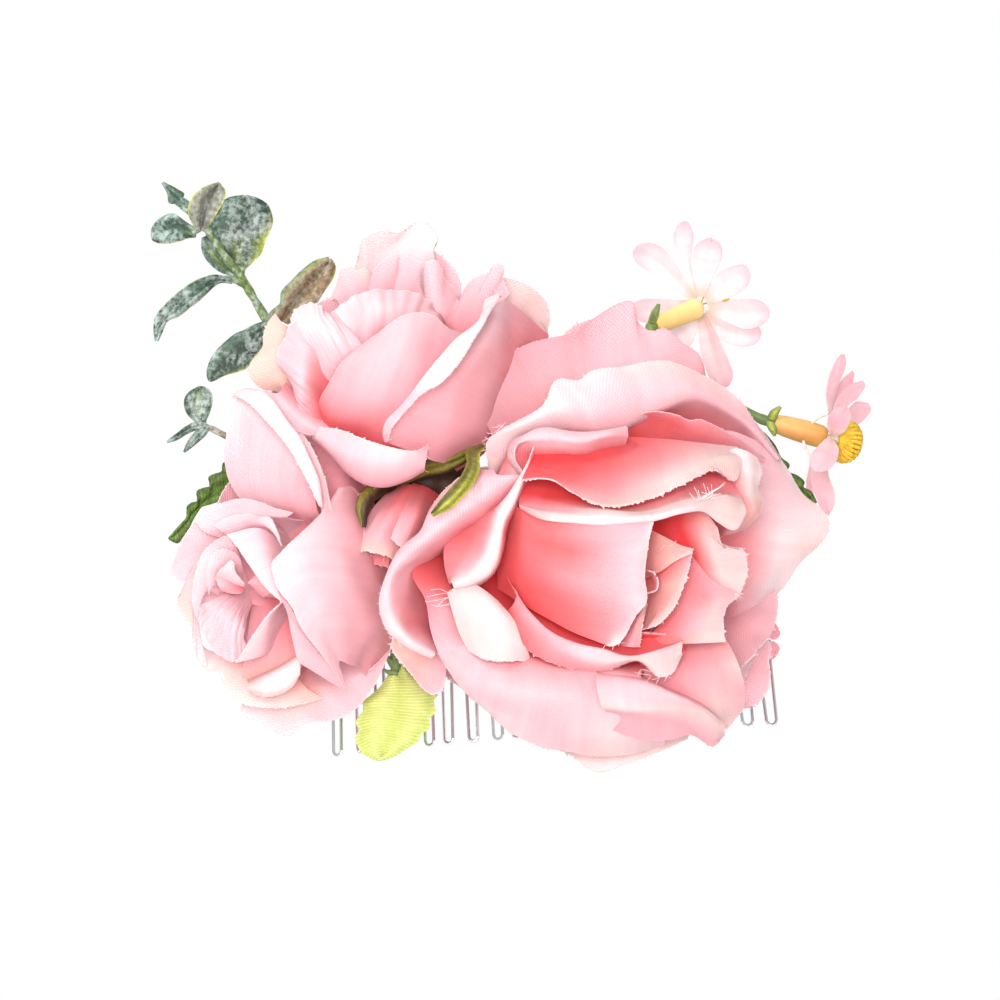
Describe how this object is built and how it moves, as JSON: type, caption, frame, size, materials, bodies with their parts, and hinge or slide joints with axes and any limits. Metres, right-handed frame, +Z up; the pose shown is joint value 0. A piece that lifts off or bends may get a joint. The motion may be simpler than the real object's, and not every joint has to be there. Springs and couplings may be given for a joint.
{
  "type": "floral hair comb",
  "caption": "Curved wire side comb carrying a cluster of fabric roses, a rosebud, eucalyptus sprigs and small filler flowers; its teeth slide into the hair.",
  "frame": {"origin": "middle of the comb's bar, on the bar's centreline", "axes": "+X along the bar, to the right of someone looking at the flowers' faces; +Z up, away from the teeth's tips; +Y towards the wearer's head, so the flowers face -Y"},
  "size_m": [0.1177, 0.0599, 0.1006],
  "materials": {
    "wire_steel": "bright plated steel wire",
    "felt_white": "matt felt",
    "hot_glue": "set hot glue, slightly glossy",
    "petal_pink": "fine woven petal cloth, dyed pink",
    "petal_coral": "fine woven petal cloth, dyed deep coral at the base",
    "petal_pale": "fine woven petal cloth, pale pink with a near-white rim",
    "petal_filler": "thin petal cloth, white at the centre and pink at the tips",
    "core_foam": "moulded bud core",
    "calyx_green": "moulded, semi-matt green",
    "eucalyptus_frosted": "moulded, grey-green with a white bloom",
    "stem_green": "moulded over wire, semi-matt",
    "tube_straw": "moulded, straw yellow",
    "stamen_yellow": "moulded, yellow",
    "leaf_dark": "woven leaf cloth, mid green",
    "leaf_lime": "woven leaf cloth, yellow green"
  },
  "bodies": {
    "bouquet": {"comb_bar": "wire_steel", "comb_teeth": "wire_steel", "felt_backing": "felt_white", "filler_lower_stamen": "stamen_yellow", "filler_lower_stem": "stem_green", "filler_lower_tube": "tube_straw", "filler_right_stamen": "stamen_yellow", "filler_right_stem": "stem_green", "filler_right_tube": "tube_straw", "filler_upper_stamen": "stamen_yellow", "filler_upper_stem": "stem_green", "filler_upper_tube": "tube_straw", "glue_bed": "hot_glue", "leaf_bottom": "leaf_lime", "leaf_bottom_stem": "stem_green", "leaf_left": "leaf_dark", "leaf_right": "leaf_dark", "rose_large_calyx": "calyx_green", "rose_large_core": "core_foam", "rose_large_petals_1": "petal_coral", "rose_large_petals_2": "petal_coral", "rose_large_petals_3": "petal_coral", "rose_large_petals_4": "petal_pink", "rose_large_petals_5": "petal_pink", "rose_large_petals_6": "petal_pale", "rose_lower_calyx": "calyx_green", "rose_lower_core": "core_foam", "rose_lower_petals_1": "petal_pink", "rose_lower_petals_2": "petal_pink", "rose_lower_petals_3": "petal_pale", "rose_lower_petals_4": "petal_pale", "rose_upper_calyx": "calyx_green", "rose_upper_core": "core_foam", "rose_upper_petals_1": "petal_pink", "rose_upper_petals_2": "petal_pink", "rose_upper_petals_3": "petal_pale", "rose_upper_petals_4": "petal_pale", "rosebud_calyx": "calyx_green", "rosebud_core": "core_foam", "rosebud_petals": "petal_pale", "sprig_lower_leaf_1": "eucalyptus_frosted", "sprig_lower_leaf_2": "eucalyptus_frosted", "sprig_lower_leaf_3": "eucalyptus_frosted", "sprig_lower_stem": "eucalyptus_frosted", "sprig_upper_leaf_1": "eucalyptus_frosted", "sprig_upper_leaf_2": "eucalyptus_frosted", "sprig_upper_leaf_3": "eucalyptus_frosted", "sprig_upper_leaf_4": "eucalyptus_frosted", "sprig_upper_leaf_5": "eucalyptus_frosted", "sprig_upper_leaf_6": "eucalyptus_frosted", "sprig_upper_leaf_7": "eucalyptus_frosted", "sprig_upper_leaf_8": "eucalyptus_frosted", "sprig_upper_stem": "eucalyptus_frosted"},
    "filler_upper_whorl": {"filler_upper_petals": "petal_filler"},
    "filler_right_whorl": {"filler_right_petals": "petal_filler"},
    "filler_lower_whorl": {"filler_lower_petals": "petal_filler"}
  },
  "joints": [
    {"name": "filler_upper_spin", "type": "hinge", "parent": "bouquet", "child": "filler_upper_whorl", "pos_m": [0.02927, -0.00559, 0.03296], "axis": [0.6377, 0.6949, 0.3324], "continuous": true},
    {"name": "filler_right_spin", "type": "hinge", "parent": "bouquet", "child": "filler_right_whorl", "pos_m": [0.04802, -0.00472, 0.00943], "axis": [0.9205, 0.2556, -0.2956], "continuous": true},
    {"name": "filler_lower_spin", "type": "hinge", "parent": "bouquet", "child": "filler_lower_whorl", "pos_m": [0.03202, -0.00039, -0.02365], "axis": [0.7143, -0.2418, -0.6567], "continuous": true}
  ]
}
